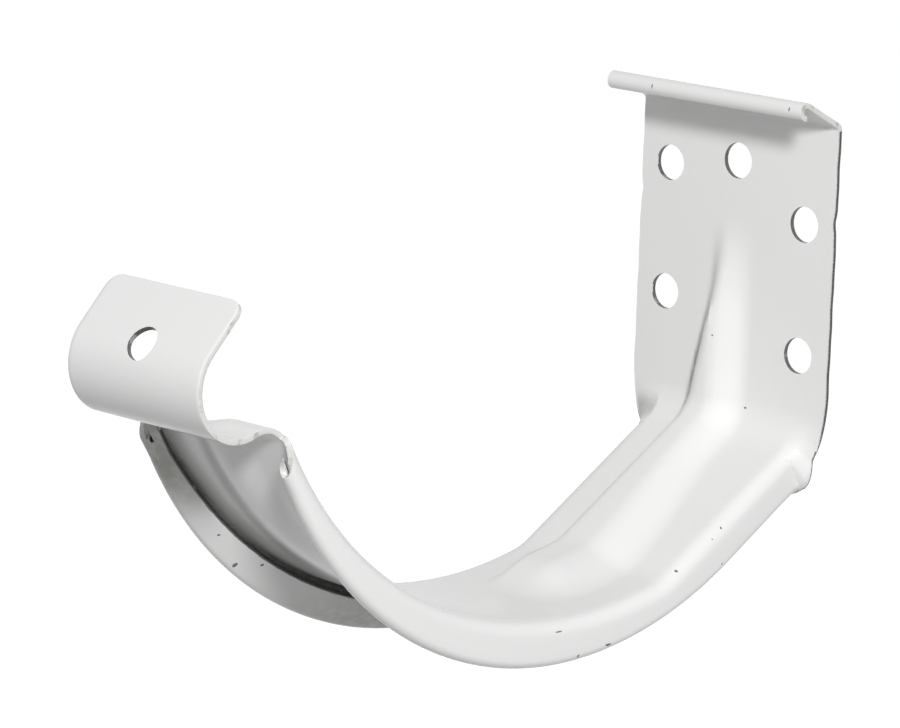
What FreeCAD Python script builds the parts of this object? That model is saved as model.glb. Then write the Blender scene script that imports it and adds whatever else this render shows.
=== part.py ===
import FreeCAD
import Part
import math
import os

os.makedirs("parts", exist_ok=True)

# Gutter bracket for a half-round gutter, pressed from one painted steel sheet.
# Units are millimetres.  X runs along the gutter, +Y points into the wall and
# +Z is up.  The origin lies on the flat back of the wall plate, at mid-width,
# midway in height between the two upper side holes.

# Sheet
SHEET = 1.0

# Wall plate
PLATE_WIDTH = 50.0
PLATE_FOOT = 39.8
PLATE_HEAD = 15.4

# Top lip and its open curl
LIP_SLOPE = 27.0
LIP_LENGTH = 9.7
LIP_FOLD_R = 1.3
CURL_R = 1.25
CURL_TURN = 212.0

# Arm and gutter seat: knee, shallow heel and round seat
BEND_R = 9.6
ARM_SLOPE = 32.0
KNEE_R = 15.0
SEAT_R = 78.0
SEAT_AXIS_Y = -65.7
SEAT_DROP = 70.5
HEEL_EXTRA_R = 13.6
HEEL_END = 17.0
SEAT_RISE = 62.0

# Channel section
WEB_WIDTH = 34.0
CORNER_R = 2.5
FLANGE_DEPTH = 8.3
FLANGE_END_DEPTH = 4.8
HEM_R = 1.15
HEM_TURN = 163.0
HEM_GAP = 1.4
FOLD_RUN = 1.5
FOLD_STATIONS = 10

# Front strip: hump, valley and open hook
HUMP_R = 5.5
HOOK_R = 9.6
VALLEY_DIP = 23.0
HOOK_LEAN = 132.5
HOOK_LEG = 10.4
HOOK_CORNER_R = 3.0

# Holes
HOLE_D = 7.0
HOLE_COLUMN = 17.6
LEFT_TOP_Z = 3.6
LEFT_PITCH = 25.6
RIGHT_TOP_Z = -3.6
RIGHT_PITCH = 25.6
MIDDLE_Z = 6.4
HOOK_HOLE_D = 6.4
HOOK_HOLE_LIFT = 33.0

# Stiffening rib, raised toward the gutter
RIB_TIP = 36.0
RIB_RISE = 24.0
RIB_HEIGHT = 3.8
RIB_LEFT = -9.2
RIB_RIGHT = 3.2
RIB_SPREAD = 6.0
RIB_STEEP = 4.2
RIB_SOFT = 7.0
RIB_WIDEN_RUN = 42.0
RIB_SPREAD_START = 44.0
RIB_SPREAD_RUN = 40.0
RIB_TAIL = 20.0
RIB_END_LENGTH = 13.0
RIB_SINK = 0.2
RIB_TRIM = 0.4
RIB_BORDER = 2.0

# Sheared steps in the plate's side edges
NICK_DEPTH = 0.45
NICK_R = 1.1
LEFT_NICK_Z = -2.2
RIGHT_NICK_Z = -2.4


def smooth(t):
    """Ease from 0 to 1 while t runs from 0 to 1."""
    t = min(max(t, 0.0), 1.0)
    return t * t * (3.0 - 2.0 * t)


def sine(angle):
    return math.sin(math.radians(angle))


def cosine(angle):
    return math.cos(math.radians(angle))


def forward(angle):
    """Unit vector at an angle above the forward direction, -Y."""
    return FreeCAD.Vector(0, -cosine(angle), sine(angle))


def away(angle):
    """Unit vector square to the sheet, away from the gutter."""
    return FreeCAD.Vector(0, -sine(angle), -cosine(angle))


def line(a, b):
    return Part.makeLine(a, b)


def arc(a, middle, b):
    return Part.Arc(a, middle, b).toShape()


class Span:
    """One straight or round stretch of the sheet's side view."""

    def __init__(self, point, angle, length, turn=0.0):
        self.point, self.angle = point, angle
        self.length, self.turn = length, turn
        if turn:
            self.radius = length / math.radians(turn)
            self.centre = point - away(angle) * self.radius

    def at(self, part):
        """Point and slope angle at a share of the stretch."""
        angle = self.angle + self.turn * part
        if self.turn:
            return self.centre + away(angle) * self.radius, angle
        return self.point + forward(angle) * (self.length * part), angle

    def beside(self, part, offset):
        """Point beside the stretch, offset away from the gutter."""
        point, angle = self.at(part)
        return point + away(angle) * offset

    def edge(self, offset):
        """Line or arc beside the stretch."""
        a, middle, b = (self.beside(part, offset) for part in (0.0, 0.5, 1.0))
        return arc(a, middle, b) if self.turn else line(a, b)

    def carry(self, face):
        """Solid that a face sweeps along the stretch."""
        if self.turn:
            return face.revolve(self.centre, FreeCAD.Vector(-1, 0, 0), self.turn)
        return face.extrude(forward(self.angle) * self.length)

    def until(self, offset, y):
        """The round stretch, ended where the arc beside it reaches y."""
        end = math.degrees(math.asin((self.centre.y - y) / (self.radius + offset)))
        turn = end - self.angle
        return Span(self.point, self.angle, self.radius * math.radians(turn), turn)


class Profile:
    """Side view of the sheet's middle line, walked from one end to the other."""

    def __init__(self, point, angle):
        self.point, self.angle, self.spans = point, angle, []

    def straight(self, length, turn=0.0):
        self.spans.append(Span(self.point, self.angle, length, turn))
        self.point, self.angle = self.spans[-1].at(1.0)
        return self

    def bend(self, radius, turn):
        return self.straight(radius * math.radians(abs(turn)), turn)


def band(first, second, near, far):
    """Face between two rows of stretches, each at its own offset."""
    edges = [s.edge(near) for s in first] + [s.edge(far) for s in second]
    for row, part in ((0, 0.0), (-1, 1.0)):
        edges.append(line(first[row].beside(part, near), second[row].beside(part, far)))
    return Part.Face(Part.Wire(Part.__sortEdges__(edges)))


def across(face, width, x=0.0):
    """Solid of a side-view face, with its middle at x."""
    face.translate(FreeCAD.Vector(x - width / 2.0, 0, 0))
    return face.extrude(FreeCAD.Vector(width, 0, 0))


def strip(profile, width):
    """Strip of the sheet along a profile."""
    half = SHEET / 2.0
    return across(band(profile.spans, profile.spans, -half, half), width)


def plate_foot():
    return FreeCAD.Vector(0, -SHEET / 2.0, -PLATE_FOOT)


def web_profile():
    """Web from the foot of the plate: bend, arm, knee, heel and seat."""
    profile = Profile(plate_foot(), -90.0).bend(BEND_R, 90.0 - ARM_SLOPE)
    seat = SEAT_R + SHEET / 2.0
    heel = seat + HEEL_EXTRA_R
    heel_axis = seat_axis() - away(HEEL_END) * HEEL_EXTRA_R
    out, ahead = away(-ARM_SLOPE), forward(-ARM_SLOPE)
    clear = (profile.point - heel_axis).dot(out) - KNEE_R
    along = math.sqrt((heel - KNEE_R) ** 2 - clear ** 2)
    arm = (heel_axis - profile.point).dot(ahead) + along
    knee = math.degrees(math.atan2(along, clear))
    profile.straight(FOLD_RUN).straight(arm - FOLD_RUN).bend(KNEE_R, knee)
    profile.bend(heel, HEEL_END + ARM_SLOPE - knee)
    return profile.bend(seat, SEAT_RISE - HEEL_END)


def seat_axis():
    return FreeCAD.Vector(0, SEAT_AXIS_Y, SEAT_R - SEAT_DROP)


def seat_end():
    """Y of the vertical plane that ends the flanges at the front."""
    return web_profile().spans[-1].beside(1.0, -SHEET / 2.0).y


def hem_profile():
    """Path of the hems, from the end of the fold: straight, then two arcs."""
    start = web_profile().spans[2].point
    axis, out, ahead = seat_axis(), away(-ARM_SLOPE), forward(-ARM_SLOPE)
    reach = (start - axis).dot(out)
    depth = reach + FLANGE_DEPTH - SHEET / 2.0 - SEAT_R
    front = reach - (depth - FLANGE_END_DEPTH) / (1.0 - cosine(SEAT_RISE))
    late = math.degrees(math.asin(min(1.0, (SEAT_AXIS_Y - seat_end()) / front)))
    profile = Profile(start, -ARM_SLOPE).straight((axis - start).dot(ahead))
    return profile.bend(reach, ARM_SLOPE).bend(front, late)


def flange_straight(depth):
    """Flat height of a flange between its corner and its hem."""
    return depth - SHEET - CORNER_R - HEM_R


def margin_legs(share, depth):
    """Legs (length, turn) of the sheet's side margin beyond the flat web."""
    corner = CORNER_R * math.pi / 2.0
    straight = flange_straight(depth)
    hem = HEM_R * math.radians(HEM_TURN) / 2.0
    back = HEM_TURN - 90.0
    rise = straight + CORNER_R + HEM_R * cosine(back) - SHEET / 2.0 - HEM_GAP
    home = rise / sine(back)
    formed = corner + straight + 2.0 * hem + home
    flat = (PLATE_WIDTH - WEB_WIDTH) / 2.0
    growth = smooth((share - 0.3) / 0.7)
    scale = (flat + (formed - flat) * growth) / formed
    legs = ((corner, 90.0), (straight, 0.0), (hem, HEM_TURN / 2.0),
            (hem, HEM_TURN / 2.0), (home, 0.0))
    return [(length * scale, turn * share) for length, turn in legs]


def margin(share, depth, offset):
    """Each leg on one skin: start, control point, middle, end and weight."""
    x, d, angle = WEB_WIDTH / 2.0, 0.0, 0.0
    out = []
    for length, turn in margin_legs(share, depth):
        half = math.radians(turn) / 2.0
        ends = []
        for part in (0.0, 0.5, 1.0):
            a = angle + turn * part
            swing = math.radians(turn * part) / 2.0
            chord = length * part * (math.sin(swing) / swing if swing else 1.0)
            mx = x + chord * cosine(angle + turn * part / 2.0)
            md = d + chord * sine(angle + turn * part / 2.0)
            ends.append((mx + offset * sine(a), md - offset * cosine(a)))
        reach = length / 2.0
        if half:
            reach = (length / (2.0 * half) + offset) * math.tan(half)
        control = (ends[0][0] + reach * cosine(angle),
                   ends[0][1] + reach * sine(angle))
        out.append((ends[0], control, ends[1], ends[2], math.cos(half)))
        x, d, angle = mx, md, angle + turn
    return out


def margin_reach(share):
    """Greatest depth of the side margin's middle line."""
    return max(max(leg[0][1], leg[2][1], leg[3][1])
               for leg in margin(share, FLANGE_DEPTH, 0.0))


def share_at(point, angle):
    """How far the flanges are turned where their edge must stay off the wall."""
    room = (-SHEET / 2.0 - point.y) / sine(-angle)
    low, high = 0.0, 1.0
    for _ in range(30):
        middle = (low + high) / 2.0
        if margin_reach(middle) < room:
            low = middle
        else:
            high = middle
    return low


def place(point, out, p):
    """Point in space at (x, depth) on the plane square to the side profile."""
    return FreeCAD.Vector(p[0], 0, 0) + point + out * p[1]


def skin_legs(share, offset):
    """Legs of one whole skin, left hem to right hem."""
    right = margin(share, FLANGE_DEPTH, offset)
    left = [tuple((-p[0], p[1]) for p in (leg[3], leg[1], leg[2], leg[0])) + (leg[4],)
            for leg in reversed(right)]
    half = WEB_WIDTH / 2.0
    web = ((-half, -offset), (0.0, -offset), (0.0, -offset), (half, -offset), 1.0)
    return left + [web] + right


def leg_edge(leg, point, out):
    a, middle, b = (place(point, out, leg[k]) for k in (0, 2, 3))
    bow = middle - (a + b) * 0.5
    return line(a, b) if bow.Length < 1e-6 else arc(a, middle, b)


def closed(near, far, point, out):
    """Closed outline from two rows of legs that run side by side."""
    def joint(a, b):
        return line(place(point, out, a), place(point, out, b))
    edges = [leg_edge(leg, point, out) for leg in near + far]
    edges += [joint(near[-1][3], far[-1][3]), joint(far[0][0], near[0][0])]
    return Part.Face(Part.Wire(Part.__sortEdges__(edges)))


def section(point, angle, share=1.0):
    """Face across the whole channel."""
    return closed(skin_legs(share, SHEET / 2.0), skin_legs(share, -SHEET / 2.0),
                  point, away(angle))


def patch(legs, places):
    """Smooth face through one leg at every station: arcs across, cubic along."""
    poles, weights = [], []
    for leg, (point, out) in zip(legs, places):
        poles.append([place(point, out, leg[k]) for k in (0, 1, 3)])
        weights.append([1.0, leg[4], 1.0])
    spans = len(poles) - 3
    mults = [4] + [1] * (spans - 1) + [4]
    face = Part.BSplineSurface()
    face.buildFromPolesMultsKnots(poles, mults, [3, 3],
                                  [float(k) for k in range(spans + 1)], [0.0, 1.0],
                                  False, False, 3, 2, weights)
    return face.toShape()


def rim(near, far, places):
    """Face between the two skins along a free edge."""
    def strip(a, b):
        middle = ((a[0] + b[0]) / 2.0, (a[1] + b[1]) / 2.0)
        return (a, middle, middle, b, 1.0)
    return patch([strip(a, b) for a, b in zip(near, far)], places)


def fold():
    """Stretch where the plate bends into the arm and its margins turn back."""
    bend, run = web_profile().spans[:2]
    count = FOLD_STATIONS
    stations = [bend.at(1.0 - (1.0 - k / (count - 1.0)) ** 1.5) for k in range(count)]
    stations += [run.at(0.5), run.at(1.0)]
    shares = [0.0] + [share_at(*station) for station in stations[1:-1]] + [1.0]
    places = [(point, away(a)) for point, a in stations]
    near = [skin_legs(s, SHEET / 2.0) for s in shares]
    far = [skin_legs(s, -SHEET / 2.0) for s in shares]
    faces = []
    for legs in (near, far):
        faces += [patch([row[k] for row in legs], places) for k in range(len(legs[0]))]
    faces.append(rim([r[0][0] for r in near], [r[0][0] for r in far], places))
    faces.append(rim([r[-1][3] for r in near], [r[-1][3] for r in far], places))
    faces.append(section(*stations[0], 0.0))
    faces.append(section(*stations[-1]))
    return sewn(faces)


def sewn(faces):
    """Closed solid from faces that meet edge to edge."""
    body = Part.Compound(faces)
    body.sewShape(1e-5)
    solid = Part.Solid(body.Shells[0])
    if solid.Volume < 0:
        solid.reverse()
    return solid


def front_end(first, last):
    """Waste in front of the seat's end, from one x to another."""
    corner = FreeCAD.Vector(first, seat_end() - SEAT_R, -SEAT_DROP)
    return Part.makeBox(last - first, SEAT_R, 2.0 * SEAT_R, corner)


def channel():
    """Arm and gutter seat: web with its corners, flanges and hems."""
    web, hem = web_profile().spans[2:], hem_profile().spans
    near, far = skin_legs(1.0, SHEET / 2.0), skin_legs(1.0, -SHEET / 2.0)
    half, wide = WEB_WIDTH / 2.0, PLATE_WIDTH
    sides = [front_end(half, wide), front_end(-wide, -half)]
    parts = []
    for span in web:
        face = closed(near[4:7], far[4:7], span.point, away(span.angle))
        parts.append(span.carry(face).cut(sides))

    inner = WEB_WIDTH / 2.0 + CORNER_R - SHEET / 2.0
    y = seat_end()
    high = -FLANGE_DEPTH / 2.0
    over = web[:-1] + [web[-1].until(high, y)]
    room = across(band(over, over, high, SHEET / 2.0 + HEM_GAP),
                  WEB_WIDTH + 2.0 * (CORNER_R - HEM_R))
    for legs in (slice(0, 3), slice(8, 11)):
        for span in hem:
            face = closed(near[legs], far[legs], span.point, away(span.angle))
            parts.append(span.carry(face).cut([room, front_end(-wide, wide)]))

    hem_start = CORNER_R + flange_straight(FLANGE_DEPTH)
    top = web[:-1] + [web[-1].until(CORNER_R, y)]
    bottom = hem[:-1] + [hem[-1].until(hem_start, y)]
    for x in (-inner - SHEET / 2.0, inner + SHEET / 2.0):
        parts.append(across(band(top, bottom, CORNER_R, hem_start), SHEET, x))
    return parts


def rib_stations():
    """Stations (point, angle, running length) of the rib, tip to end."""
    tip = plate_foot() + FreeCAD.Vector(0, 0, RIB_TIP)
    spans = [Span(tip, -90.0, RIB_TIP)] + web_profile().spans[:5]
    out, run = [], 0.0
    for span, count in zip(spans, (3, 4, 1, 2, 2, 3)):
        reach = RIB_TAIL if span is spans[-1] else span.length
        for k in range(count):
            part = reach / span.length * k / count
            out.append(span.at(part) + (run + part * span.length,))
        run += reach
    out.append(spans[-1].at(RIB_TAIL / spans[-1].length) + (run,))
    return out


def rib_height(x, run, last, trim=0.0):
    """Rise of the rib above the sheet; trim narrows its hollow side."""
    rise = smooth(run / RIB_RISE)
    fade = smooth((last - run) / RIB_END_LENGTH)
    widen = smooth(run / RIB_WIDEN_RUN)
    spread = RIB_SPREAD * smooth((run - RIB_SPREAD_START) / RIB_SPREAD_RUN)
    left = RIB_LEFT * (0.55 + 0.45 * widen) + trim
    right = RIB_RIGHT * widen + spread - trim / 2.0
    steep = RIB_STEEP * (0.75 + 0.25 * widen)
    soft = RIB_SOFT * (0.6 + 0.4 * widen) + spread * 0.6
    across = smooth((x - left) / steep) * smooth((right - x) / soft)
    return RIB_HEIGHT * rise * fade * across


def net_face(poles):
    """Smooth face over a net of poles, clamped at its four sides."""
    def knots(n, degree):
        inner = n - degree - 1
        return ([degree + 1] + [1] * inner + [degree + 1],
                [float(k) for k in range(inner + 2)])
    degrees = [min(3, len(poles) - 1), min(3, len(poles[0]) - 1)]
    u_mults, u_knots = knots(len(poles), degrees[0])
    v_mults, v_knots = knots(len(poles[0]), degrees[1])
    face = Part.BSplineSurface()
    face.buildFromPolesMultsKnots(poles, u_mults, v_mults, u_knots, v_knots,
                                  False, False, degrees[0], degrees[1])
    return face.toShape()


def rib_body(base, lift, trim):
    """Solid between the rib's crowned face and a plain face at a base depth."""
    stations = rib_stations()
    last = stations[-1][2]
    left, right = RIB_LEFT - RIB_BORDER, RIB_RIGHT + RIB_SPREAD + RIB_BORDER
    count = 9
    xs = [left + (right - left) * k / count for k in range(count + 1)]
    crown, floor = [], []
    for point, angle, run in stations:
        out = away(angle)
        crown.append([place(point, out, (x, lift - rib_height(x, run, last, trim)))
                      for x in xs])
        floor.append([place(point, out, (x, base)) for x in xs])
    faces = [net_face(crown), net_face(floor)]
    for k in (0, -1):
        faces.append(net_face([crown[k], floor[k]]))
        faces.append(net_face([[row[k] for row in crown], [row[k] for row in floor]]))
    return sewn(faces)


def plate():
    """Wall plate with its top lip and open curl."""
    profile = Profile(plate_foot(), 90.0)
    profile.straight(PLATE_FOOT + PLATE_HEAD)
    profile.bend(LIP_FOLD_R, LIP_SLOPE - 90.0).straight(LIP_LENGTH)
    return strip(profile.bend(CURL_R, -CURL_TURN), PLATE_WIDTH)


def front_profile():
    """Hump, valley and open hook beyond the seat."""
    seat = web_profile()
    profile = Profile(seat.point, seat.angle)
    profile.bend(HUMP_R, -SEAT_RISE - VALLEY_DIP)
    return profile.bend(HOOK_R, VALLEY_DIP + HOOK_LEAN).straight(HOOK_LEG)


def drill(diameter, x, y, z, direction):
    """Cylinder that cuts a hole through the sheet."""
    axis = FreeCAD.Vector(*direction).normalize()
    base = FreeCAD.Vector(x, y, z) - axis * (3.0 * SHEET)
    return Part.makeCylinder(diameter / 2.0, 6.0 * SHEET, base, axis)


def plate_holes():
    """Fixing holes through the wall plate."""
    spots = [(-HOLE_COLUMN, LEFT_TOP_Z), (-HOLE_COLUMN, LEFT_TOP_Z - LEFT_PITCH),
             (0.0, MIDDLE_Z),
             (HOLE_COLUMN, RIGHT_TOP_Z), (HOLE_COLUMN, RIGHT_TOP_Z - RIGHT_PITCH)]
    return [drill(HOLE_D, x, -SHEET / 2.0, z, (0, 1, 0)) for x, z in spots]


def hook_hole():
    """Hole through the hook, square to the sheet there."""
    hook = front_profile().spans[1]
    angle = 90.0 + HOOK_HOLE_LIFT
    spot = hook.at((angle - hook.angle) / hook.turn)[0]
    return drill(HOOK_HOLE_D, 0.0, spot.y, spot.z, away(angle))


def tip_corners(profile):
    """Waste outside the rounded corners of the hook's tip."""
    lengthwise = forward(profile.angle)
    square = away(profile.angle)
    tip = profile.point
    tools = []
    for side in (-1, 1):
        edge = FreeCAD.Vector(side * WEB_WIDTH / 2.0, 0, 0)
        inward = FreeCAD.Vector(-side, 0, 0)
        r = HOOK_CORNER_R
        corner = tip + edge
        centre = corner + inward * r - lengthwise * r
        a = centre - inward * r
        b = centre + lengthwise * r
        middle = centre + (lengthwise - inward).normalize() * r
        over = (lengthwise - inward) * SHEET
        outline = Part.Wire([
            arc(a, middle, b),
            line(b, b + lengthwise * SHEET),
            line(b + lengthwise * SHEET, corner + over),
            line(corner + over, a - inward * SHEET),
            line(a - inward * SHEET, a)])
        face = Part.Face(outline)
        face.translate(square * (-3.0 * SHEET))
        tools.append(face.extrude(square * (6.0 * SHEET)))
    return tools


def edge_nicks():
    """Small sheared steps in the plate's side edges."""
    half = PLATE_WIDTH / 2.0 - NICK_DEPTH + NICK_R
    return [drill(2.0 * NICK_R, x, -SHEET / 2.0, z, (0, 1, 0))
            for x, z in ((-half, LEFT_NICK_Z), (half, RIGHT_NICK_Z))]


def bracket():
    """The finished bracket."""
    front = front_profile()
    sheet = plate().fuse([fold()] + channel() + [strip(front, WEB_WIDTH)])
    top = RIB_SINK - SHEET / 2.0
    sheet = sheet.fuse(rib_body(0.0, top, 0.0))
    sheet = sheet.cut(rib_body(2.0 * SHEET, top + SHEET, RIB_TRIM))
    tools = plate_holes() + [hook_hole()] + tip_corners(front) + edge_nicks()
    return sheet.cut(tools)


def main():
    shape = bracket()
    if len(shape.Solids) != 1 or not shape.isValid():
        raise RuntimeError("the bracket is not one valid solid")
    shape.Solids[0].exportStep("parts/bracket.step")
    box = shape.BoundBox
    print("bracket", round(box.XMin, 2), round(box.XMax, 2), round(box.YMin, 2),
          round(box.YMax, 2), round(box.ZMin, 2), round(box.ZMax, 2),
          "volume", round(shape.Volume, 1))


main()
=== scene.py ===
import math

import bmesh
import bpy
from mathutils import Matrix, Vector


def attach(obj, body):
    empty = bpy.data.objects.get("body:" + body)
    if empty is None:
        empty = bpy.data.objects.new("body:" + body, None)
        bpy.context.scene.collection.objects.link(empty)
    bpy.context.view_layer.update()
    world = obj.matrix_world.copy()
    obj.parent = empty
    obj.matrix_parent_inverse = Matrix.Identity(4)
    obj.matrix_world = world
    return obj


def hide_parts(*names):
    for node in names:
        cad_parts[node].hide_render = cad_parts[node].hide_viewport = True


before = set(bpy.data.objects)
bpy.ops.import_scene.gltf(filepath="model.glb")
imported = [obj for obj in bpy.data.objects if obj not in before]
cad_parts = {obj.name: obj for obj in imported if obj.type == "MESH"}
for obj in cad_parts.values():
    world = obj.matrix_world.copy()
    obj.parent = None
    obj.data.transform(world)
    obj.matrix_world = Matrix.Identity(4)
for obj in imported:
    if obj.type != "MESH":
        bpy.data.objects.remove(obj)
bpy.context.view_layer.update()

MM = 0.001

# The bracket is one pressed sheet.  It is folded here from a flat blank whose
# rows run across the sheet.  Sizes are millimetres in the CAD frame: X along
# the gutter, +Y into the wall, +Z up.

SHEET = 1.0

# Wall plate, top lip and open curl
PLATE_WIDTH = 50.0
PLATE_FOOT = 39.8
PLATE_HEAD = 15.4
LIP_SLOPE = 27.0
LIP_LENGTH = 9.7
LIP_FOLD_R = 1.3
CURL_R = 1.25
CURL_TURN = 212.0

# Arm and gutter seat
BEND_R = 9.6
ARM_SLOPE = 32.0
KNEE_R = 15.0
SEAT_R = 78.0
SEAT_AXIS_Y = -65.7
SEAT_DROP = 70.5
HEEL_EXTRA_R = 13.6
HEEL_END = 17.0
SEAT_RISE = 62.0

# Channel section: flange, hem and return lip, deepest along the arm
WEB_WIDTH = 34.0
CORNER_R = 2.5
FLANGE_DEPTH = 8.3
FLANGE_END_DEPTH = 4.3
FLANGE_LEAST = 0.05
HEM_R = 1.15
HEM_GAP = 1.4
RETURN_LEAST = 0.3
# Hem's turn on its length, then at its front end its turn, radius and gap, and
# the run they take to change
LEFT_HEM = (134.0, 118.0, 1.15, 1.5, 40.0)
RIGHT_HEM = (163.0, 195.0, 1.0, 2.2, 9.0)
FLANGE_END_Y = -136.1
TRIM_REACH = 12.0

# Fold between plate and arm: the sheet's edge is drawn in, the flange turns
# down and widens, then the hem rolls up.  SPARE_LEG keeps the columns of the
# unrolled hem apart.
DRAW_IN = 1.6
DRAW_START = -3.0
DRAW_RUN = 14.0
WIDEN_FROM = 0.5
ROLL_START = 6.0
ROLL_RUN = 12.0
SPARE_LEG = 0.3
FOLD_HALVINGS = 24
ARM_EXTRA = 0.35
ARM_EXTRA_START = 60.0
ARM_EXTRA_RUN = 50.0

# Front strip: hump, valley and open hook
HUMP_R = 5.5
HOOK_R = 9.6
VALLEY_DIP = 23.0
HOOK_LEAN = 132.5
HOOK_LEG = 11.1
HOOK_CORNER_R = 3.0

# Holes, and the nicks and waviness of the plate's sheared edges
HOLE_D = 7.0
HOLE_COLUMN = 17.6
LEFT_TOP_Z = 3.6
RIGHT_TOP_Z = -3.6
HOLE_PITCH = 25.6
MIDDLE_Z = 6.4
HOOK_HOLE_D = 6.4
HOOK_HOLE_LIFT = 37.0
NICK_DEPTH = 0.4
NICK_HALF = 1.6
LEFT_NICK_Z = -2.2
RIGHT_NICK_Z = -2.4
EDGE_WAVE = 0.07
EDGE_WAVE_SHORT = 0.7
EDGE_WAVE_LONG = 0.23
HOLE_SIDES = 40
HOLE_REACH = 2.5
RIM_REACH = 0.3
RIM_MERGE = 0.16
MERGE = 0.01

# Stiffening rib and the shallow dish of the seat's front and hump
RIB_TIP = 36.0
RIB_RISE = 24.0
RIB_HEIGHT = 3.8
RIB_LEFT = -10.6
RIB_TIP_LEFT = -5.6
RIB_LEFT_START = 12.0
RIB_LEFT_RUN = 32.0
RIB_RIGHT = 5.0
RIB_SPREAD = 6.0
RIB_STEEP = 4.2
RIB_SOFT = 8.0
RIB_SOFTER = 0.6
RIB_SPREAD_START = 44.0
RIB_SPREAD_RUN = 40.0
RIB_TAIL = 20.0
RIB_END_LENGTH = 13.0
DISH_DEPTH = 1.5
DISH_HALF_WIDTH = 8.5
DISH_START = 62.0
DISH_FADE = 9.0

# Painted shade: along the rib's left foot with one darker knot, inside the left
# hem at its front and its dip, and in the pocket beside the fold.  SHADE is its
# strength; the others are millimetres.
CREASE_IN = 0.5
CREASE_WIDTH = 0.8
CREASE_SHADE = 0.45
CREASE_START = 10.0
CREASE_START_RUN = 16.0
CREASE_END_RUN = 30.0
KNOT_AT = 32.0
KNOT_HALF = 5.0
KNOT_SHADE = 0.75
HEM_FRONT_SHADE = 0.75
HEM_FRONT_START = 24.0
HEM_FRONT_RUN = 14.0
HEM_DIP_SHADE = 0.8
HEM_DIP_END = 45.0
HEM_DIP_END_RUN = 30.0
HEM_DIP_START = 25.0
HEM_DIP_START_RUN = 10.0
POCKET_AT = 6.0
POCKET_HALF = 2.5
POCKET_SHADE = 0.5

# Stretches passed, counted from the plate's foot to the end of each one
BEND, ARM, KNEE, HEEL, SEAT, HUMP, HOOK, LEG, TIP = range(1, 10)

# Rows of the blank on each stretch
PLATE_ROWS = 80
LIP_FOLD_ROWS = 8
LIP_ROWS = 8
CURL_ROWS = 26
BEND_ROWS = 44
ARM_ROWS = 30
KNEE_ROWS = 10
HEEL_ROWS = 40
SEAT_ROWS = 56
HUMP_ROWS = 24
HOOK_ROWS = 60
LEG_ROWS = 8
TIP_ROWS = 12

# Columns of the web, and of one margin's corner, flange, half hems and lip; the
# left margin has painted shade inside from the middle of its hem
WEB_COLUMNS = 40
MARGIN_COLUMNS = (6, 3, 6, 6, 5)
SHADED_FROM = 12

# Finished sheet: round of its edges, and what counts as an edge
EDGE_ROUND = 0.13
EDGE_ANGLE = 60.0
SMOOTH_ANGLE = 38.0
PAINTED_EDGE, RAW_EDGE, HOLE_WALL = 1, 2, 3
SIDE_REACH = 2.6
RETURN_REACH = 4.0
FRONT_REACH = 0.2
WALL_REACH = 1.5
LEG_REACH = 2.0


def smooth(t):
    """Ease from 0 to 1 while t runs from 0 to 1."""
    t = min(max(t, 0.0), 1.0)
    return t * t * (3.0 - 2.0 * t)


def sine(angle):
    return math.sin(math.radians(angle))


def cosine(angle):
    return math.cos(math.radians(angle))


def forward(angle):
    """Unit vector at an angle above the forward direction, -Y."""
    return Vector((0.0, -cosine(angle), sine(angle)))


def away(angle):
    """Unit vector square to the sheet, away from the gutter."""
    return Vector((0.0, -sine(angle), -cosine(angle)))


class Stretch:
    """One straight or round stretch of the sheet's side view."""

    def __init__(self, point, angle, length, turn, rows):
        self.point, self.angle = point, angle
        self.length, self.turn, self.rows = length, turn, rows

    def at(self, part):
        """Point and slope angle at a share of the stretch."""
        angle = self.angle + self.turn * part
        if not self.turn:
            return self.point + forward(angle) * (self.length * part), angle
        radius = self.length / math.radians(self.turn)
        centre = self.point - away(self.angle) * radius
        return centre + away(angle) * radius, angle


def seat_axis():
    return Vector((0.0, SEAT_AXIS_Y, SEAT_R - SEAT_DROP))


def lower_path():
    """Web from the plate's foot to the hook's tip: (length, turn, rows)."""
    foot = Vector((0.0, -SHEET / 2.0, -PLATE_FOOT))
    bend = (BEND_R * math.radians(90.0 - ARM_SLOPE), 90.0 - ARM_SLOPE, BEND_ROWS)
    start = Stretch(foot, -90.0, *bend).at(1.0)[0]
    seat = SEAT_R + SHEET / 2.0
    heel = seat + HEEL_EXTRA_R
    heel_axis = seat_axis() - away(HEEL_END) * HEEL_EXTRA_R
    clear = (start - heel_axis).dot(away(-ARM_SLOPE)) - KNEE_R
    along = math.sqrt((heel - KNEE_R) ** 2 - clear ** 2)
    arm = (heel_axis - start).dot(forward(-ARM_SLOPE)) + along
    knee = math.degrees(math.atan2(along, clear))
    heel_turn = HEEL_END + ARM_SLOPE - knee
    seat_turn = SEAT_RISE - HEEL_END
    hump_turn = SEAT_RISE + VALLEY_DIP
    hook_turn = VALLEY_DIP + HOOK_LEAN
    return foot, (bend, (arm, 0.0, ARM_ROWS),
                  (KNEE_R * math.radians(knee), knee, KNEE_ROWS),
                  (heel * math.radians(heel_turn), heel_turn, HEEL_ROWS),
                  (seat * math.radians(seat_turn), seat_turn, SEAT_ROWS),
                  (HUMP_R * math.radians(hump_turn), -hump_turn, HUMP_ROWS),
                  (HOOK_R * math.radians(hook_turn), hook_turn, HOOK_ROWS),
                  (HOOK_LEG - HOOK_CORNER_R, 0.0, LEG_ROWS),
                  (HOOK_CORNER_R, 0.0, TIP_ROWS))


def upper_path():
    """Plate, lip and curl, walked backward from the plate's foot."""
    fold = 90.0 - LIP_SLOPE
    return ((-PLATE_FOOT - PLATE_HEAD, 0.0, PLATE_ROWS),
            (-LIP_FOLD_R * math.radians(fold), -fold, LIP_FOLD_ROWS),
            (-LIP_LENGTH, 0.0, LIP_ROWS),
            (-CURL_R * math.radians(CURL_TURN), -CURL_TURN, CURL_ROWS))


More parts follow.
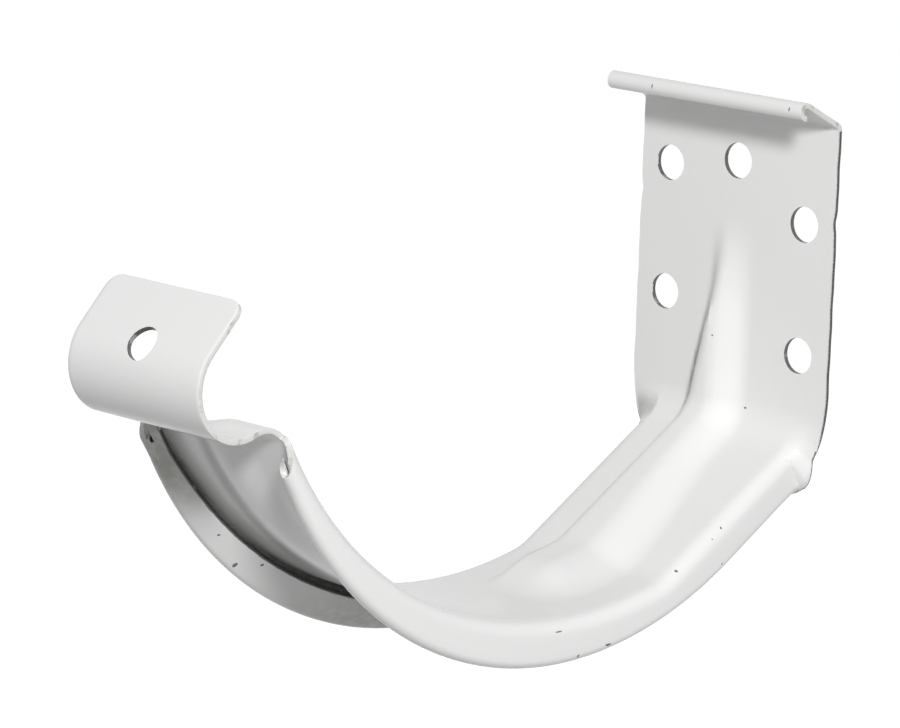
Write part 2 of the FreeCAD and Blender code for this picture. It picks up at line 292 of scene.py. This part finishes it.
def walk(point, angle, path):
    """Stations (point, angle, run) of a path, its first point left out."""
    out, run = [], 0.0
    for length, turn, rows in path:
        stretch = Stretch(point, angle, length, turn, rows)
        for k in range(1, rows + 1):
            out.append(stretch.at(k / rows) + (run + length * k / rows,))
        point, angle = stretch.at(1.0)
        run += length
    return out


def run_at(passed):
    """Running length from the plate's foot over the stretches passed."""
    return sum(length for length, _, _ in lower_path()[1][:passed])


def stations():
    """All rows of the blank, from the curl's edge to the hook's tip."""
    foot, lower = lower_path()
    upper = walk(foot, -90.0, upper_path())
    return upper[::-1] + [(foot, -90.0, 0.0)] + walk(foot, -90.0, lower)


def rib_left(run):
    """X of the rib's left foot."""
    shift = 1.0 - smooth((run - RIB_LEFT_START) / RIB_LEFT_RUN)
    return RIB_LEFT + (RIB_TIP_LEFT - RIB_LEFT) * shift


def rib_height(x, run, last):
    """Rise of the rib above the sheet, toward the gutter."""
    rise = smooth(run / RIB_RISE)
    fade = smooth((last - run) / RIB_END_LENGTH)
    spread = RIB_SPREAD * smooth((run - RIB_SPREAD_START) / RIB_SPREAD_RUN)
    right = RIB_RIGHT + spread
    soft = RIB_SOFT + spread * RIB_SOFTER
    across = smooth((x - rib_left(run)) / RIB_STEEP) * smooth((right - x) / soft)
    return RIB_HEIGHT * rise * fade * across


def painted_shade(x, run, last):
    """Strength of the painted shade along the rib's left foot."""
    near = math.exp(-((x - rib_left(run) - CREASE_IN) / CREASE_WIDTH) ** 2)
    knot = math.exp(-((run - KNOT_AT) / KNOT_HALF) ** 2)
    length = smooth((run - CREASE_START) / CREASE_START_RUN)
    length *= smooth((last - run) / CREASE_END_RUN)
    return near * (CREASE_SHADE * length + KNOT_SHADE * knot)


def hem_shade(run, last):
    """Painted shade on the left hem's return lip, at its front and along its dip."""
    ahead = smooth((run - last + HEM_FRONT_START) / HEM_FRONT_RUN)
    dip = smooth((last - run - HEM_DIP_END) / HEM_DIP_END_RUN)
    dip *= smooth((run - HEM_DIP_START) / HEM_DIP_START_RUN)
    return HEM_FRONT_SHADE * ahead + HEM_DIP_SHADE * dip


def pocket_shade(run):
    """Painted shade in the pocket where the left flange leaves the plate."""
    return POCKET_SHADE * math.exp(-((run - POCKET_AT) / POCKET_HALF) ** 2)


def dish_depth(x, run, start, crest):
    """Sag of the shallow dish pressed along the seat's front and the hump."""
    along = smooth((run - start) / DISH_START)
    along *= smooth((crest + DISH_FADE - run) / DISH_FADE)
    return DISH_DEPTH * along * (1.0 - smooth(abs(x) / DISH_HALF_WIDTH))


def flange_bottom(point, out):
    """Depth of the flanges' lower edge below the web's middle, at a row."""
    foot, lower = lower_path()
    start = Stretch(foot, -90.0, *lower[0]).at(1.0)[0]
    full = FLANGE_DEPTH - SHEET / 2.0
    axis = seat_axis()
    rear = (start - axis).dot(away(-ARM_SLOPE)) + full
    depth = rear - SEAT_R
    drop = (depth - FLANGE_END_DEPTH) / (1.0 - cosine(SEAT_RISE))
    if (point - axis).dot(forward(-ARM_SLOPE)) < 0.0:
        return full
    for centre, radius in ((axis, rear), (axis - Vector((0.0, 0.0, drop)), rear - drop)):
        along = (point - centre).dot(out)
        off = (point - centre).length_squared - radius * radius
        reach = -along + math.sqrt(max(along * along - off, 0.0))
        if (point + out * reach).y > SEAT_AXIS_Y:
            break
    return reach


class Section:
    """Sizes of one side margin at one row, a run ahead of the seat's end."""

    def __init__(self, depth, rolled, trim, hem, ahead):
        self.depth, self.rolled, self.trim = depth, rolled, trim
        turn, end_turn, end_r, end_gap, front_run = hem
        front = smooth(1.0 - ahead / front_run)
        self.turn = turn + (end_turn - turn) * front
        self.hem_r = HEM_R + (end_r - HEM_R) * front
        self.gap = HEM_GAP + (end_gap - HEM_GAP) * front

    def legs(self, bent):
        """Legs (length, turn) of the margin beyond the flat web.

        bent turns the flange down, from 0 to 1."""
        turn = self.turn * self.rolled
        corner = CORNER_R * math.pi / 2.0
        flat = (PLATE_WIDTH - WEB_WIDTH) / 2.0 - corner - self.trim
        lower = (self.hem_r + SHEET / 2.0) * sine(min(turn, 90.0))
        formed = max(self.depth - CORNER_R - lower, FLANGE_LEAST)
        widened = smooth((bent - WIDEN_FROM) / (1.0 - WIDEN_FROM))
        spare = SPARE_LEG * (1.0 - self.rolled)
        flat -= 3.0 * spare
        straight = flat + (formed - flat) * widened
        hem = self.hem_r * math.radians(turn) / 2.0 + spare
        back = self.turn - 90.0
        rise = formed + CORNER_R + self.hem_r * cosine(back) - SHEET / 2.0 - self.gap
        home = max(rise, RETURN_LEAST) / sine(back) * smooth(self.rolled) + spare
        return ((corner, 90.0 * bent), (straight, 0.0), (hem, turn / 2.0),
                (hem, turn / 2.0), (home, 0.0))

    def columns(self, bent):
        """Columns (x, depth, flat distance) of the margin's middle line."""
        x, d, angle, flat = WEB_WIDTH / 2.0, 0.0, 0.0, WEB_WIDTH / 2.0
        out = []
        for (length, turn), count in zip(self.legs(bent), MARGIN_COLUMNS):
            for k in range(1, count + 1):
                part = k / count
                swing = math.radians(turn * part) / 2.0
                chord = length * part * (math.sin(swing) / swing if swing else 1.0)
                middle = angle + turn * part / 2.0
                out.append((x + chord * cosine(middle), d + chord * sine(middle),
                            flat + length * part))
            x, d, flat = out[-1]
            angle += turn
        return out


def bent_at(point, angle, section):
    """How far the margins turn down where their edge must stay off the wall."""
    room = (-SHEET / 2.0 - point.y) / sine(-angle)
    low, high = 0.0, 1.0
    for _ in range(FOLD_HALVINGS):
        middle = (low + high) / 2.0
        if max(column[1] for column in section.columns(middle)) < room:
            low = middle
        else:
            high = middle
    return low


def row_columns(point, angle, run, runs):
    """Columns (x, depth, flat distance, painted shade) of one whole row of the blank."""
    bend_end, seat_end = runs["bend"], runs["seat"]
    trim = DRAW_IN * smooth((run - DRAW_START) / DRAW_RUN)
    rolled = smooth((run - ROLL_START) / ROLL_RUN)
    depth = FLANGE_DEPTH - SHEET / 2.0
    if run > bend_end:
        depth = flange_bottom(point, away(angle))
    depth += ARM_EXTRA * (1.0 - smooth((run - ARM_EXTRA_START) / ARM_EXTRA_RUN))
    sides = []
    for nick_z, hem in ((LEFT_NICK_Z, LEFT_HEM), (RIGHT_NICK_Z, RIGHT_HEM)):
        ragged = trim
        if run < 0.0:
            ragged += NICK_DEPTH * math.exp(-((point.z - nick_z) / NICK_HALF) ** 2)
            wave = math.sin(run * EDGE_WAVE_SHORT + nick_z)
            ragged += EDGE_WAVE * wave * math.sin(run * EDGE_WAVE_LONG)
        section = Section(depth, rolled, ragged, hem, seat_end - run)
        bent = 0.0
        if run > 0.0:
            bent = bent_at(point, angle, section) if run < bend_end else 1.0
        sides.append(section.columns(bent))
    half = WEB_WIDTH / 2.0
    tip = runs["tip"] - run
    if tip < HOOK_CORNER_R:
        inset = HOOK_CORNER_R - tip
        half -= HOOK_CORNER_R - math.sqrt(max(HOOK_CORNER_R ** 2 - inset ** 2, 0.0))
    web = []
    for k in range(WEB_COLUMNS + 1):
        x = half * (2.0 * k / WEB_COLUMNS - 1.0)
        rib = rib_height(x, run + RIB_TIP, runs["rib"])
        dish = dish_depth(x, run, runs["seat"] - DISH_START, runs["crest"])
        web.append((x, dish - rib, x, painted_shade(x, run + RIB_TIP, runs["rib"])))
    # Painted shade for the left margin: inside its hem, and in the pocket beside the
    # fold
    inside = hem_shade(run, seat_end)
    left = [(-x, d, -flat, inside if column > SHADED_FROM else pocket_shade(run))
            for column, (x, d, flat) in enumerate(sides[0])][::-1]
    return left + web + [column + (0.0,) for column in sides[1]]


def blank():
    """The flat blank, folded: a single skin on the sheet's middle."""
    rows = stations()
    runs = {"bend": run_at(BEND), "seat": run_at(SEAT), "tip": run_at(TIP)}
    runs["crest"] = runs["seat"] + HUMP_R * math.radians(SEAT_RISE)
    runs["rib"] = RIB_TIP + run_at(KNEE) + RIB_TAIL
    side = sum(MARGIN_COLUMNS)
    wide, along = 2 * side + WEB_COLUMNS, len(rows) - 1
    skin = bmesh.new()
    bmesh.ops.create_grid(skin, x_segments=wide, y_segments=along, size=1.0)
    flat = skin.loops.layers.uv.new("blank")
    # Strength of painted shade at each point: the rib's foot, the left hem and the
    # pocket
    shade_layer = skin.verts.layers.float.new("painted_shade")
    edge = skin.verts.layers.float.new("from_edge")
    cells = {}
    for vert in skin.verts:
        i = round((vert.co.x + 1.0) / 2.0 * wide)
        j = round((vert.co.y + 1.0) / 2.0 * along)
        cells[vert] = (i, j)
    columns = [row_columns(point, angle, run, runs) for point, angle, run in rows]
    for face in skin.faces:
        for loop in face.loops:
            i, j = cells[loop.vert]
            loop[flat].uv = (columns[j][i][2] * MM, rows[j][2] * MM)
    spare = []
    for face in skin.faces:
        spots = [cells[vert] for vert in face.verts]
        i = min(spot[0] for spot in spots)
        past = max(spot[1] for spot in spots)
        point, _, run = rows[past]
        in_margin = i < side or i >= side + WEB_COLUMNS
        beyond = point.y < FLANGE_END_Y and run > runs["seat"]
        if in_margin and (beyond or run > runs["crest"]):
            spare.append(face)
    for vert, (i, j) in cells.items():
        x, depth, across, shade_strength = columns[j][i]
        point, angle, run = rows[j]
        vert[shade_layer] = shade_strength
        last = columns[j][-1 if across > 0.0 else 0][2]
        vert[edge] = abs(last) - abs(across)
        if run < ROLL_START:
            vert[edge] += PLATE_WIDTH
        vert.co = (Vector((x, 0.0, 0.0)) + point + away(angle) * depth) * MM
    bmesh.ops.delete(skin, geom=spare, context="FACES")
    trim_front(skin)
    pierce(skin)
    bmesh.ops.remove_doubles(skin, verts=skin.verts, dist=MERGE * MM)
    bmesh.ops.dissolve_degenerate(skin, dist=MERGE * MM, edges=skin.edges)
    return skin


def trim_front(skin):
    """Ends the flanges at a vertical plane, square to the wall."""
    outside = [face for face in skin.faces
               if abs(face.calc_center_median().x) > WEB_WIDTH / 2.0 * MM
               and face.calc_center_median().y < (FLANGE_END_Y + TRIM_REACH) * MM]
    parts = set(outside)
    for face in outside:
        parts.update(face.edges)
        parts.update(face.verts)
    bmesh.ops.bisect_plane(skin, geom=list(parts), dist=1e-7,
                           plane_co=(0.0, FLANGE_END_Y * MM, 0.0),
                           plane_no=(0.0, -1.0, 0.0), clear_outer=True)


def made(name, skin, materials):
    """Object of a finished bmesh, at the origin."""
    mesh = bpy.data.meshes.new(name)
    skin.to_mesh(mesh)
    skin.free()
    for material in materials:
        mesh.materials.append(material)
    thing = bpy.data.objects.new(name, mesh)
    bpy.context.scene.collection.objects.link(thing)
    return thing


def cut_round(skin, spot, axis, radius):
    """Cuts a round hole in the skin, side after side, and drops the waste."""
    spot = spot * MM
    across = axis.orthogonal().normalized()
    waste = [face for face in skin.faces
             if (face.calc_center_median() - spot).length < (radius + HOLE_REACH) * MM]
    for k in range(HOLE_SIDES):
        turn = Matrix.Rotation(math.tau * k / HOLE_SIDES, 3, axis)
        side = turn @ across
        parts = set(waste)
        for face in waste:
            parts.update(face.edges)
            parts.update(face.verts)
        cut = bmesh.ops.bisect_plane(skin, geom=list(parts), dist=1e-8,
                                     plane_co=spot + side * radius * MM, plane_no=side)
        waste = [face for face in cut["geom"] if isinstance(face, bmesh.types.BMFace)
                 and (face.calc_center_median() - spot).dot(side) < radius * MM]
    bmesh.ops.delete(skin, geom=waste, context="FACES")
    rim = [vert for vert in skin.verts if vert.is_boundary
           and abs((vert.co - spot).length - radius * MM) < RIM_REACH * MM]
    bmesh.ops.remove_doubles(skin, verts=rim, dist=RIM_MERGE * MM)


def hook_spot(lift):
    """Point of the hook's middle line where the sheet has a given slope."""
    point, lower = lower_path()
    angle = -90.0
    for length, turn, rows in lower[:HUMP]:
        point, angle = Stretch(point, angle, length, turn, rows).at(1.0)
    length, turn, rows = lower[HUMP]
    return Stretch(point, angle, length, turn, rows).at((lift - angle) / turn)[0]


def pierce(skin):
    """Fixing holes and the hook's hole."""
    middle = -SHEET / 2.0
    wall = Vector((0.0, 1.0, 0.0))
    spots = [(-HOLE_COLUMN, LEFT_TOP_Z), (-HOLE_COLUMN, LEFT_TOP_Z - HOLE_PITCH),
             (0.0, MIDDLE_Z),
             (HOLE_COLUMN, RIGHT_TOP_Z), (HOLE_COLUMN, RIGHT_TOP_Z - HOLE_PITCH)]
    for x, z in spots:
        cut_round(skin, Vector((x, middle, z)), wall, HOLE_D / 2.0)
    lift = 90.0 + HOOK_HOLE_LIFT
    cut_round(skin, hook_spot(lift), away(lift), HOOK_HOLE_D / 2.0)


def wrapped(thing):
    """The object's own mesh, with its modifiers taken into it."""
    seen = thing.evaluated_get(bpy.context.evaluated_depsgraph_get())
    mesh = bpy.data.meshes.new_from_object(seen)
    thing.modifiers.clear()
    thing.data = mesh


def sheet_metal(paint, edge, raw, wall):
    """The whole bracket, with its thickness, rounded edges and holes."""
    thing = made("bracket_sheet", blank(), (paint, edge, raw, wall))
    solid = thing.modifiers.new("thickness", "SOLIDIFY")
    solid.thickness = SHEET * MM
    solid.offset = 0.0
    solid.use_even_offset = True
    solid.use_quality_normals = True
    solid.material_offset_rim = PAINTED_EDGE
    soft = thing.modifiers.new("edges", "BEVEL")
    soft.width = EDGE_ROUND * MM
    soft.segments = 2
    soft.limit_method = "ANGLE"
    soft.angle_limit = math.radians(EDGE_ANGLE)
    soft.material = -1
    wrapped(thing)
    finish_edges(thing)
    return thing


def finish_edges(thing):
    """Bares the plate's sides and the return lips, and marks the holes' walls."""
    mesh = thing.data
    flat = mesh.uv_layers["blank"].uv
    leg_end = run_at(LEG) - LEG_REACH
    for face in mesh.polygons:
        if face.material_index != PAINTED_EDGE:
            continue
        across = sum(abs(flat[k].vector.x) for k in face.loop_indices)
        along = sum(flat[k].vector.y for k in face.loop_indices)
        across /= MM * face.loop_total
        along /= MM * face.loop_total
        x, y, z = (value / MM for value in face.center)
        side = across > PLATE_WIDTH / 2.0 - SIDE_REACH
        if side or abs(x) > WEB_WIDTH / 2.0 + RETURN_REACH:
            if y > FLANGE_END_Y + FRONT_REACH and z <= PLATE_HEAD:
                face.material_index = RAW_EDGE
        elif y > -SHEET * WALL_REACH or (across < HOOK_HOLE_D and along < leg_end):
            face.material_index = HOLE_WALL
    mesh.shade_smooth()
    mesh.set_sharp_from_angle(angle=math.radians(SMOOTH_ANGLE))


class Nodes:
    """Short hand for building one material's nodes."""

    def __init__(self, name):
        self.material = bpy.data.materials.new(name)
        self.material.use_nodes = True
        self.tree = self.material.node_tree
        self.shader = self.tree.nodes["Principled BSDF"]
        self.place = self.add("ShaderNodeTexCoord").outputs["Object"]

    def add(self, kind, **inputs):
        node = self.tree.nodes.new(kind)
        for key, value in inputs.items():
            self.give(node.inputs[key], value)
        return node

    def give(self, socket, value):
        if isinstance(value, bpy.types.NodeSocket):
            self.tree.links.new(value, socket)
        else:
            socket.default_value = value

    def noise(self, scale, detail=2.0, roughness=0.5):
        node = self.add("ShaderNodeTexNoise", Vector=self.place, Scale=scale,
                        Detail=detail, Roughness=roughness)
        return node.outputs["Fac"]

    def attribute(self, name):
        node = self.add("ShaderNodeAttribute")
        node.attribute_name = name
        return node.outputs["Fac"]

    def ramp(self, value, low, high, start=0.0, end=1.0):
        node = self.add("ShaderNodeMapRange")
        node.interpolation_type = "SMOOTHSTEP"
        for key, number in (("From Min", low), ("From Max", high),
                            ("To Min", start), ("To Max", end)):
            node.inputs[key].default_value = number
        self.give(node.inputs["Value"], value)
        return node.outputs["Result"]

    def math(self, operation, a, b=0.0):
        node = self.add("ShaderNodeMath")
        node.operation = operation
        self.give(node.inputs[0], a)
        self.give(node.inputs[1], b)
        return node.outputs[0]

    def blend(self, share, a, b):
        node = self.add("ShaderNodeMix")
        node.data_type = "RGBA"
        self.give(node.inputs["Factor"], share)
        self.give(node.inputs[6], a)
        self.give(node.inputs[7], b)
        return node.outputs[2]

    def spot(self, centre, size, stretch):
        """A ragged patch round a place on the object: 1 inside, 0 outside."""
        shift = self.add("ShaderNodeMapping")
        shift.inputs["Location"].default_value = [
            -c * s * MM for c, s in zip(centre, stretch)]
        shift.inputs["Scale"].default_value = stretch
        self.give(shift.inputs["Vector"], self.place)
        far = self.add("ShaderNodeVectorMath")
        far.operation = "LENGTH"
        self.give(far.inputs[0], shift.outputs["Vector"])
        rough = self.math("MULTIPLY", self.noise(SPOT_GRAIN, 3.0),
                          size * MM * SPOT_RAGGED * 2.0)
        total = self.math("ADD", far.outputs["Value"], rough)
        reach = size * MM * (1.0 + SPOT_RAGGED)
        return self.ramp(total, reach * SPOT_CORE, reach, 1.0, 0.0)

    def bump(self, height, strength, distance):
        node = self.add("ShaderNodeBump")
        node.inputs["Strength"].default_value = strength
        node.inputs["Distance"].default_value = distance
        self.give(node.inputs["Height"], height)
        return node.outputs["Normal"]


PAINT = (0.86, 0.865, 0.855, 1.0)
# Darker paint tone for random clouds; also the colour of painted shade
PAINT_TONE_AND_SHADE = (0.30, 0.29, 0.26, 1.0)
PAINT_LAP = (0.66, 0.66, 0.64, 1.0)
PAINT_IOR = 1.5
# Bare steel at chips and free edges, also the painted shadow in the gap under the return
# lips
BARE_METAL_AND_GAP_SHADE = (0.13, 0.125, 0.12, 1.0)
EDGE_LIGHT = (0.72, 0.72, 0.70, 1.0)
EDGE_DARK = (0.45, 0.44, 0.42, 1.0)
RAW_LIGHT = (0.20, 0.195, 0.19, 1.0)
RAW_DARK = (0.03, 0.03, 0.028, 1.0)
WALL_LIGHT = (0.35, 0.345, 0.33, 1.0)
WALL_DARK = (0.06, 0.06, 0.055, 1.0)

# Grain of the noises, per metre: the higher, the finer
CLOUD_GRAIN = 9.0
SHEEN_GRAIN = 45.0
PATCH_GRAIN = 420.0
GRIME_GRAIN = 500.0
RAGGED_GRAIN = 700.0
PEEL_GRAIN = 1400.0
SHEARED_GRAIN = 1800.0
SPOT_GRAIN = 2200.0
STREAK_GRAIN = 3000.0

CLOUD_SHARE = 0.06
RAGGED_DEPTH = 0.30
SPOT_RAGGED = 0.35
SPOT_CORE = 0.86

# Chips and scratches: place in millimetres, radius, and how far each axis is
# drawn together (a small share makes a long mark along that axis).
CHIPS = (((19.9, -61.6, -78.6), 0.35, (0.2, 1.0, 1.0)),
         ((19.9, -53.6, -77.7), 0.30, (0.2, 0.35, 1.0)),
         ((19.9, -67.0, -73.1), 0.13, (0.2, 0.12, 1.0)),
         ((20.0, -22.8, -66.7), 0.20, (0.2, 1.0, 1.0)),
         ((19.3, -22.8, -59.8), 0.16, (0.2, 1.0, 0.6)),
         ((19.4, -25.3, -61.6), 0.14, (0.2, 1.0, 1.0)),
         ((18.9, -34.5, -66.6), 0.22, (0.2, 0.7, 1.0)),
         ((5.0, -1.2, -41.6), 0.20, (0.6, 0.5, 1.0)),
         ((-1.5, -4.5, -27.9), 0.20, (1.0, 0.4, 1.0)),
         ((-16.6, -115.1, -60.6), 0.40, (0.3, 1.0, 0.7)),
         ((-14.0, -110.8, -60.7), 0.30, (0.3, 1.0, 1.0)),
         ((-15.2, -120.6, -53.9), 0.25, (0.3, 1.0, 1.0)),
         ((-13.2, -12.1, 20.1), 0.16, (1.0, 1.0, 0.3)),
         ((22.0, -12.1, 20.2), 0.18, (1.0, 1.0, 0.4)))


def paint_material():
    """Gloss white powder coat, painted shade in its hollows, and the chips and scratches
    of use.
    """
    n = Nodes("gloss_white_paint")
    cloud = n.math("MULTIPLY", n.ramp(n.noise(CLOUD_GRAIN), 0.3, 0.8), CLOUD_SHARE)
    broken = n.ramp(n.noise(GRIME_GRAIN, 3.0), 0.25, 0.6, 0.6, 1.0)
    broken_shade = n.math("MULTIPLY", n.attribute("painted_shade"), broken)
    # Darker in faint random clouds of tone, and much darker where painted shade lies at
    # the rib's foot, in the left hem and in the pocket
    colour = n.blend(n.math("MAXIMUM", cloud, broken_shade), PAINT, PAINT_TONE_AND_SHADE)
    # Bare metal at the chips, and a dark band along the return lips' free edges that is
    # partly bare edge and partly painted shadow of the gap under the lips
    ragged = n.math("MULTIPLY", n.noise(RAGGED_GRAIN, 3.0), RAGGED_DEPTH)
    reach = n.math("SUBTRACT", n.attribute("from_edge"), ragged)
    bare_and_gap_shade = n.ramp(reach, 0.05, 0.22, 1.0, 0.0)
    for centre, size, stretch in CHIPS:
        bare_and_gap_shade = n.math("MAXIMUM", bare_and_gap_shade, n.spot(centre, size, stretch))
    n.give(n.shader.inputs["Base Color"], n.blend(bare_and_gap_shade, colour, BARE_METAL_AND_GAP_SHADE))
    sheen = n.ramp(n.noise(SHEEN_GRAIN), 0.3, 0.7, 0.19, 0.26)
    n.give(n.shader.inputs["Roughness"], sheen)
    height = n.math("SUBTRACT", n.noise(PEEL_GRAIN), n.math("MULTIPLY", bare_and_gap_shade, 2.0))
    n.give(n.shader.inputs["Normal"], n.bump(height, 0.05, 0.0002))
    n.shader.inputs["IOR"].default_value = PAINT_IOR
    return n.material


def edge_material(name, light, dark, share, lapped=False):
    """A sheared edge, partly covered by paint.

    share is the dark patches' part; lapped adds paint lapped over its front."""
    n = Nodes(name)
    start = 0.5 - share / 2.0
    patches = n.ramp(n.noise(PATCH_GRAIN, 4.0, 0.6), start, 0.62 - share / 2.0)
    streaks = n.ramp(n.noise(STREAK_GRAIN), 0.3, 0.7)
    streaked = n.math("ADD", n.math("MULTIPLY", streaks, 0.3), 0.7)
    colour = n.blend(n.math("MULTIPLY", patches, streaked), light, dark)
    if lapped:
        apart = n.add("ShaderNodeSeparateXYZ")
        n.give(apart.inputs[0], n.place)
        depth = n.math("ADD", apart.outputs["Y"], n.math("MULTIPLY", streaks, 0.15 * MM))
        behind = n.ramp(depth, -1.4 * MM, -1.15 * MM)
        ahead = n.ramp(depth, -0.70 * MM, -0.50 * MM, 1.0, 0.0)
        colour = n.blend(n.math("MULTIPLY", behind, ahead), colour, PAINT_LAP)
    n.give(n.shader.inputs["Base Color"], colour)
    n.give(n.shader.inputs["Roughness"], n.ramp(streaks, 0.0, 1.0, 0.32, 0.5))
    n.give(n.shader.inputs["Normal"], n.bump(n.noise(SHEARED_GRAIN), 0.2, 0.0001))
    return n.material


KEY_PLACE = (0.91, -0.77, 0.585)
KEY_TARGET = (0.0, -0.07, -0.02)
KEY_SIZE = 0.22
KEY_WATTS = 13.2
HORIZON_LIGHT = 0.63
ZENITH_LIGHT = 0.15


def key_light():
    """Soft lamp from the photograph's upper right."""
    lamp = bpy.data.lights.new("key", "AREA")
    lamp.shape = "DISK"
    lamp.size = KEY_SIZE
    lamp.energy = KEY_WATTS
    thing = bpy.data.objects.new("key", lamp)
    thing.location = KEY_PLACE
    aim = Vector(KEY_TARGET) - Vector(KEY_PLACE)
    thing.rotation_euler = aim.to_track_quat("-Z", "Y").to_euler()
    bpy.context.scene.collection.objects.link(thing)


def seen_rays(tree):
    """1 for rays that should meet the white background, 0 for its light."""
    path = tree.nodes.new("ShaderNodeLightPath")
    share = path.outputs["Is Camera Ray"]
    for name in ("Is Glossy Ray", "Is Transmission Ray"):
        either = tree.nodes.new("ShaderNodeMath")
        either.operation = "MAXIMUM"
        tree.links.new(share, either.inputs[0])
        tree.links.new(path.outputs[name], either.inputs[1])
        share = either.outputs[0]
    return share


def studio_world():
    """White to look at; as a light, brighter at the sides than above."""
    world = bpy.data.worlds.new("studio")
    bpy.context.scene.world = world
    world.use_nodes = True
    tree = world.node_tree
    tree.nodes.clear()
    place = tree.nodes.new("ShaderNodeTexCoord")
    apart = tree.nodes.new("ShaderNodeSeparateXYZ")
    tree.links.new(place.outputs["Generated"], apart.inputs[0])
    height = tree.nodes.new("ShaderNodeMath")
    height.operation = "ABSOLUTE"
    tree.links.new(apart.outputs["Z"], height.inputs[0])
    level = tree.nodes.new("ShaderNodeMapRange")
    for key, value in (("From Min", 0.0), ("From Max", 1.0),
                       ("To Min", HORIZON_LIGHT), ("To Max", ZENITH_LIGHT)):
        level.inputs[key].default_value = value
    tree.links.new(height.outputs[0], level.inputs["Value"])
    light = tree.nodes.new("ShaderNodeBackground")
    light.inputs["Color"].default_value = (1.0, 1.0, 1.0, 1.0)
    tree.links.new(level.outputs["Result"], light.inputs["Strength"])
    white = tree.nodes.new("ShaderNodeBackground")
    white.inputs["Color"].default_value = (1.0, 1.0, 1.0, 1.0)
    white.inputs["Strength"].default_value = 1.0
    mix = tree.nodes.new("ShaderNodeMixShader")
    tree.links.new(seen_rays(tree), mix.inputs["Fac"])
    tree.links.new(light.outputs[0], mix.inputs[1])
    tree.links.new(white.outputs[0], mix.inputs[2])
    out = tree.nodes.new("ShaderNodeOutputWorld")
    tree.links.new(mix.outputs[0], out.inputs["Surface"])


FLOOR_Z = -0.32
FLOOR_R = 3.0
FLOOR_SIDES = 96
FLOOR_COLOUR = (0.30, 0.30, 0.30, 1.0)
FLOOR_GLOW = 0.93


def floor():
    """Pale floor, far enough below that the shadow falls out of the picture."""
    disc = bmesh.new()
    bmesh.ops.create_circle(disc, cap_ends=True, segments=FLOOR_SIDES, radius=FLOOR_R)
    bmesh.ops.translate(disc, vec=(0.0, 0.0, FLOOR_Z), verts=disc.verts)
    material = bpy.data.materials.new("pale_floor")
    material.use_nodes = True
    tree = material.node_tree
    tree.nodes.clear()
    matt = tree.nodes.new("ShaderNodeBsdfDiffuse")
    matt.inputs["Color"].default_value = FLOOR_COLOUR
    glow = tree.nodes.new("ShaderNodeEmission")
    level = tree.nodes.new("ShaderNodeMath")
    level.operation = "MULTIPLY"
    level.inputs[1].default_value = FLOOR_GLOW
    tree.links.new(seen_rays(tree), level.inputs[0])
    tree.links.new(level.outputs[0], glow.inputs["Strength"])
    both = tree.nodes.new("ShaderNodeAddShader")
    tree.links.new(matt.outputs[0], both.inputs[0])
    tree.links.new(glow.outputs[0], both.inputs[1])
    out = tree.nodes.new("ShaderNodeOutputMaterial")
    tree.links.new(both.outputs[0], out.inputs["Surface"])
    ground = made("floor", disc, (material,))


CAMERA_PLACE = (0.63448, -0.71789, 0.15731)
CAMERA_AZIMUTH = 44.76
CAMERA_ELEVATION = 11.42
CAMERA_ROLL = 2.07
CAMERA_LENS = 200.0
CAMERA_SENSOR = 36.0
CAMERA_NEAR = 0.05
CAMERA_FAR = 20.0


def camera():
    """Camera at the photograph's place, angle and lens."""
    data = bpy.data.cameras.new("camera")
    data.lens = CAMERA_LENS
    data.sensor_fit = "HORIZONTAL"
    data.sensor_width = CAMERA_SENSOR
    data.clip_start = CAMERA_NEAR
    data.clip_end = CAMERA_FAR
    thing = bpy.data.objects.new("camera", data)
    back = Vector((sine(CAMERA_AZIMUTH) * cosine(CAMERA_ELEVATION),
                   -cosine(CAMERA_AZIMUTH) * cosine(CAMERA_ELEVATION),
                   sine(CAMERA_ELEVATION)))
    thing.location = CAMERA_PLACE
    turn = back.to_track_quat("Z", "Y").to_matrix()
    roll = Vector((0.0, 0.0, 1.0))
    turn = turn @ Matrix.Rotation(math.radians(CAMERA_ROLL), 3, roll)
    thing.rotation_euler = turn.to_euler()
    bpy.context.scene.collection.objects.link(thing)
    bpy.context.scene.camera = thing


def main():
    paint = paint_material()
    edge = edge_material("painted_edge", EDGE_LIGHT, EDGE_DARK, -0.1)
    raw = edge_material("raw_cut_edge", RAW_LIGHT, RAW_DARK, 0.5, lapped=True)
    wall = edge_material("hole_wall", WALL_LIGHT, WALL_DARK, 0.4)
    bracket = sheet_metal(paint, edge, raw, wall)
    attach(bracket, "root")
    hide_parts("bracket")
    floor()
    studio_world()
    key_light()
    camera()
    bpy.context.scene.view_settings.view_transform = "Standard"


main()
